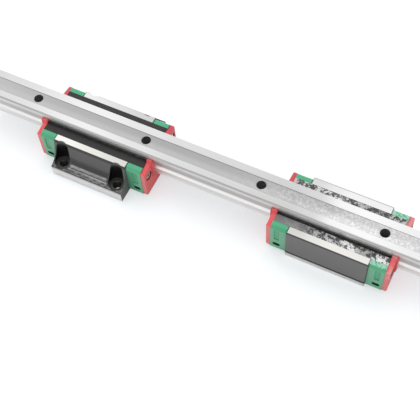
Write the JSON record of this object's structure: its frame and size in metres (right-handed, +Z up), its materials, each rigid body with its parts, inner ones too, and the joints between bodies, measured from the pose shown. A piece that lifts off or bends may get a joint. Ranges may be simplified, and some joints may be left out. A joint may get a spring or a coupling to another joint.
{
  "type": "profile rail linear guide",
  "caption": "Profile rail linear guide: a ground steel rail with a flanged and a square recirculating ball carriage, coloured plastic ends, lying upside down.",
  "frame": {"origin": "under the middle of the rail, in the plane of the carriages' mounting faces, centre of the bottom of the part's box", "axes": "+X along the rail, +Y across it, +Z up, away from the mounting faces towards the base of the rail; the guide lies upside down"},
  "size_m": [0.24, 0.047, 0.024],
  "materials": {
    "rail_steel": "hardened and ground, dull relief along the middle of the base",
    "block_steel": "blackened satin steel with bright ground feet, bands and mounting face",
    "cap_plastic": "green moulded plastic, satin",
    "end_seal_rubber": "red moulded rubber and plastic, satin",
    "bottom_seal_rubber": "black rubber, partly under a film of preserving oil",
    "ball_steel": "polished bearing steel",
    "screw_steel": "blackened steel",
    "retainer_plastic": "dark moulded plastic"
  },
  "bodies": {
    "rail": {"rail": "rail_steel"},
    "flanged_carriage": {"flanged_block": "block_steel", "flanged_left_end_cap": "cap_plastic", "flanged_left_return_guides": "retainer_plastic", "flanged_left_end_seal": "end_seal_rubber", "flanged_left_screws": "screw_steel", "flanged_right_end_cap": "cap_plastic", "flanged_right_return_guides": "retainer_plastic", "flanged_right_end_seal": "end_seal_rubber", "flanged_right_screws": "screw_steel", "flanged_near_retainer": "retainer_plastic", "flanged_near_bottom_seal": "bottom_seal_rubber", "flanged_near_base_balls": "ball_steel", "flanged_near_head_balls": "ball_steel", "flanged_far_retainer": "retainer_plastic", "flanged_far_bottom_seal": "bottom_seal_rubber", "flanged_far_base_balls": "ball_steel", "flanged_far_head_balls": "ball_steel", "flanged_deck_retainer": "retainer_plastic", "flanged_grease_plug": "screw_steel"},
    "square_carriage": {"square_block": "block_steel", "square_left_end_cap": "cap_plastic", "square_left_return_guides": "retainer_plastic", "square_left_end_seal": "end_seal_rubber", "square_left_screws": "screw_steel", "square_right_end_cap": "cap_plastic", "square_right_return_guides": "retainer_plastic", "square_right_end_seal": "end_seal_rubber", "square_right_screws": "screw_steel", "square_near_retainer": "retainer_plastic", "square_near_bottom_seal": "bottom_seal_rubber", "square_near_base_balls": "ball_steel", "square_near_head_balls": "ball_steel", "square_far_retainer": "retainer_plastic", "square_far_bottom_seal": "bottom_seal_rubber", "square_far_base_balls": "ball_steel", "square_far_head_balls": "ball_steel", "square_deck_retainer": "retainer_plastic", "square_grease_plug": "screw_steel"}
  },
  "joints": [
    {"name": "flanged_slide", "type": "slide", "parent": "rail", "child": "flanged_carriage", "axis": [1, 0, 0], "range_m": [-0.036, 0.03]},
    {"name": "square_slide", "type": "slide", "parent": "rail", "child": "square_carriage", "axis": [1, 0, 0], "range_m": [-0.03, 0.02]}
  ]
}
